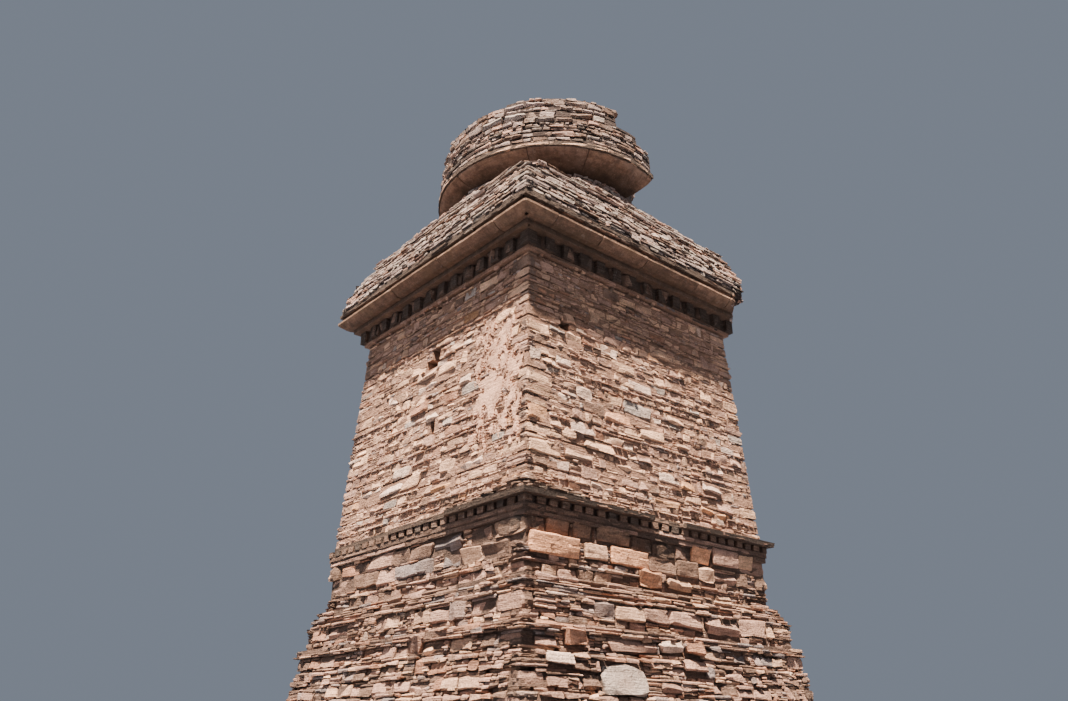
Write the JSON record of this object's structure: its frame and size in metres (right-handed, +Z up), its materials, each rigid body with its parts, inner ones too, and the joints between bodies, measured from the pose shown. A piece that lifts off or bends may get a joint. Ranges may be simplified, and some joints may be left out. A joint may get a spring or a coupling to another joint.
{
  "type": "ruined square stupa with a round drum",
  "caption": "Ruined stone stupa: battered square body on a stepped podium and toothed plinth, coved eaves, stepped stone roof and a broken round drum.",
  "frame": {"origin": "centre of the base on the ground", "axes": "+Z up, the front faces -Y and the left side faces -X"},
  "size_m": [6, 6, 10.71],
  "materials": {
    "podium_stone": "rough",
    "plinth_stone": "rough",
    "slab_stone": "rough",
    "body_stone": "rough",
    "eaves_stone": "rough",
    "roof_stone": "rough",
    "dome_stone": "rough",
    "rubble": "rough"
  },
  "bodies": {
    "root": {"podium_wall_front": "podium_stone", "podium_wall_right": "podium_stone", "podium_wall_back": "podium_stone", "podium_wall_left": "podium_stone", "plinth_wall_front": "plinth_stone", "plinth_wall_right": "plinth_stone", "plinth_wall_back": "plinth_stone", "plinth_wall_left": "plinth_stone", "plinth_dentils_front": "slab_stone", "plinth_dentils_right": "slab_stone", "plinth_dentils_back": "slab_stone", "plinth_dentils_left": "slab_stone", "plinth_cornice_front": "slab_stone", "plinth_cornice_right": "slab_stone", "plinth_cornice_back": "slab_stone", "plinth_cornice_left": "slab_stone", "body_wall_front": "body_stone", "body_wall_right": "body_stone", "body_wall_back": "body_stone", "body_wall_left": "body_stone", "eaves_brackets_front": "eaves_stone", "eaves_brackets_right": "eaves_stone", "eaves_brackets_back": "eaves_stone", "eaves_brackets_left": "eaves_stone", "eaves_cove_front": "eaves_stone", "eaves_cove_right": "eaves_stone", "eaves_cove_back": "eaves_stone", "eaves_cove_left": "eaves_stone", "roof_cover_slabs_front": "slab_stone", "roof_cover_slabs_right": "slab_stone", "roof_cover_slabs_back": "slab_stone", "roof_cover_slabs_left": "slab_stone", "roof_slope_front": "roof_stone", "roof_slope_right": "roof_stone", "roof_slope_back": "roof_stone", "roof_slope_left": "roof_stone", "upper_roof": "roof_stone", "dome_foot_cove": "eaves_stone", "dome_ledge_ring": "slab_stone", "dome_masonry": "dome_stone", "dome_rubble_core": "rubble", "base_rubble_core": "rubble", "body_rubble_core": "rubble"}
  },
  "joints": []
}
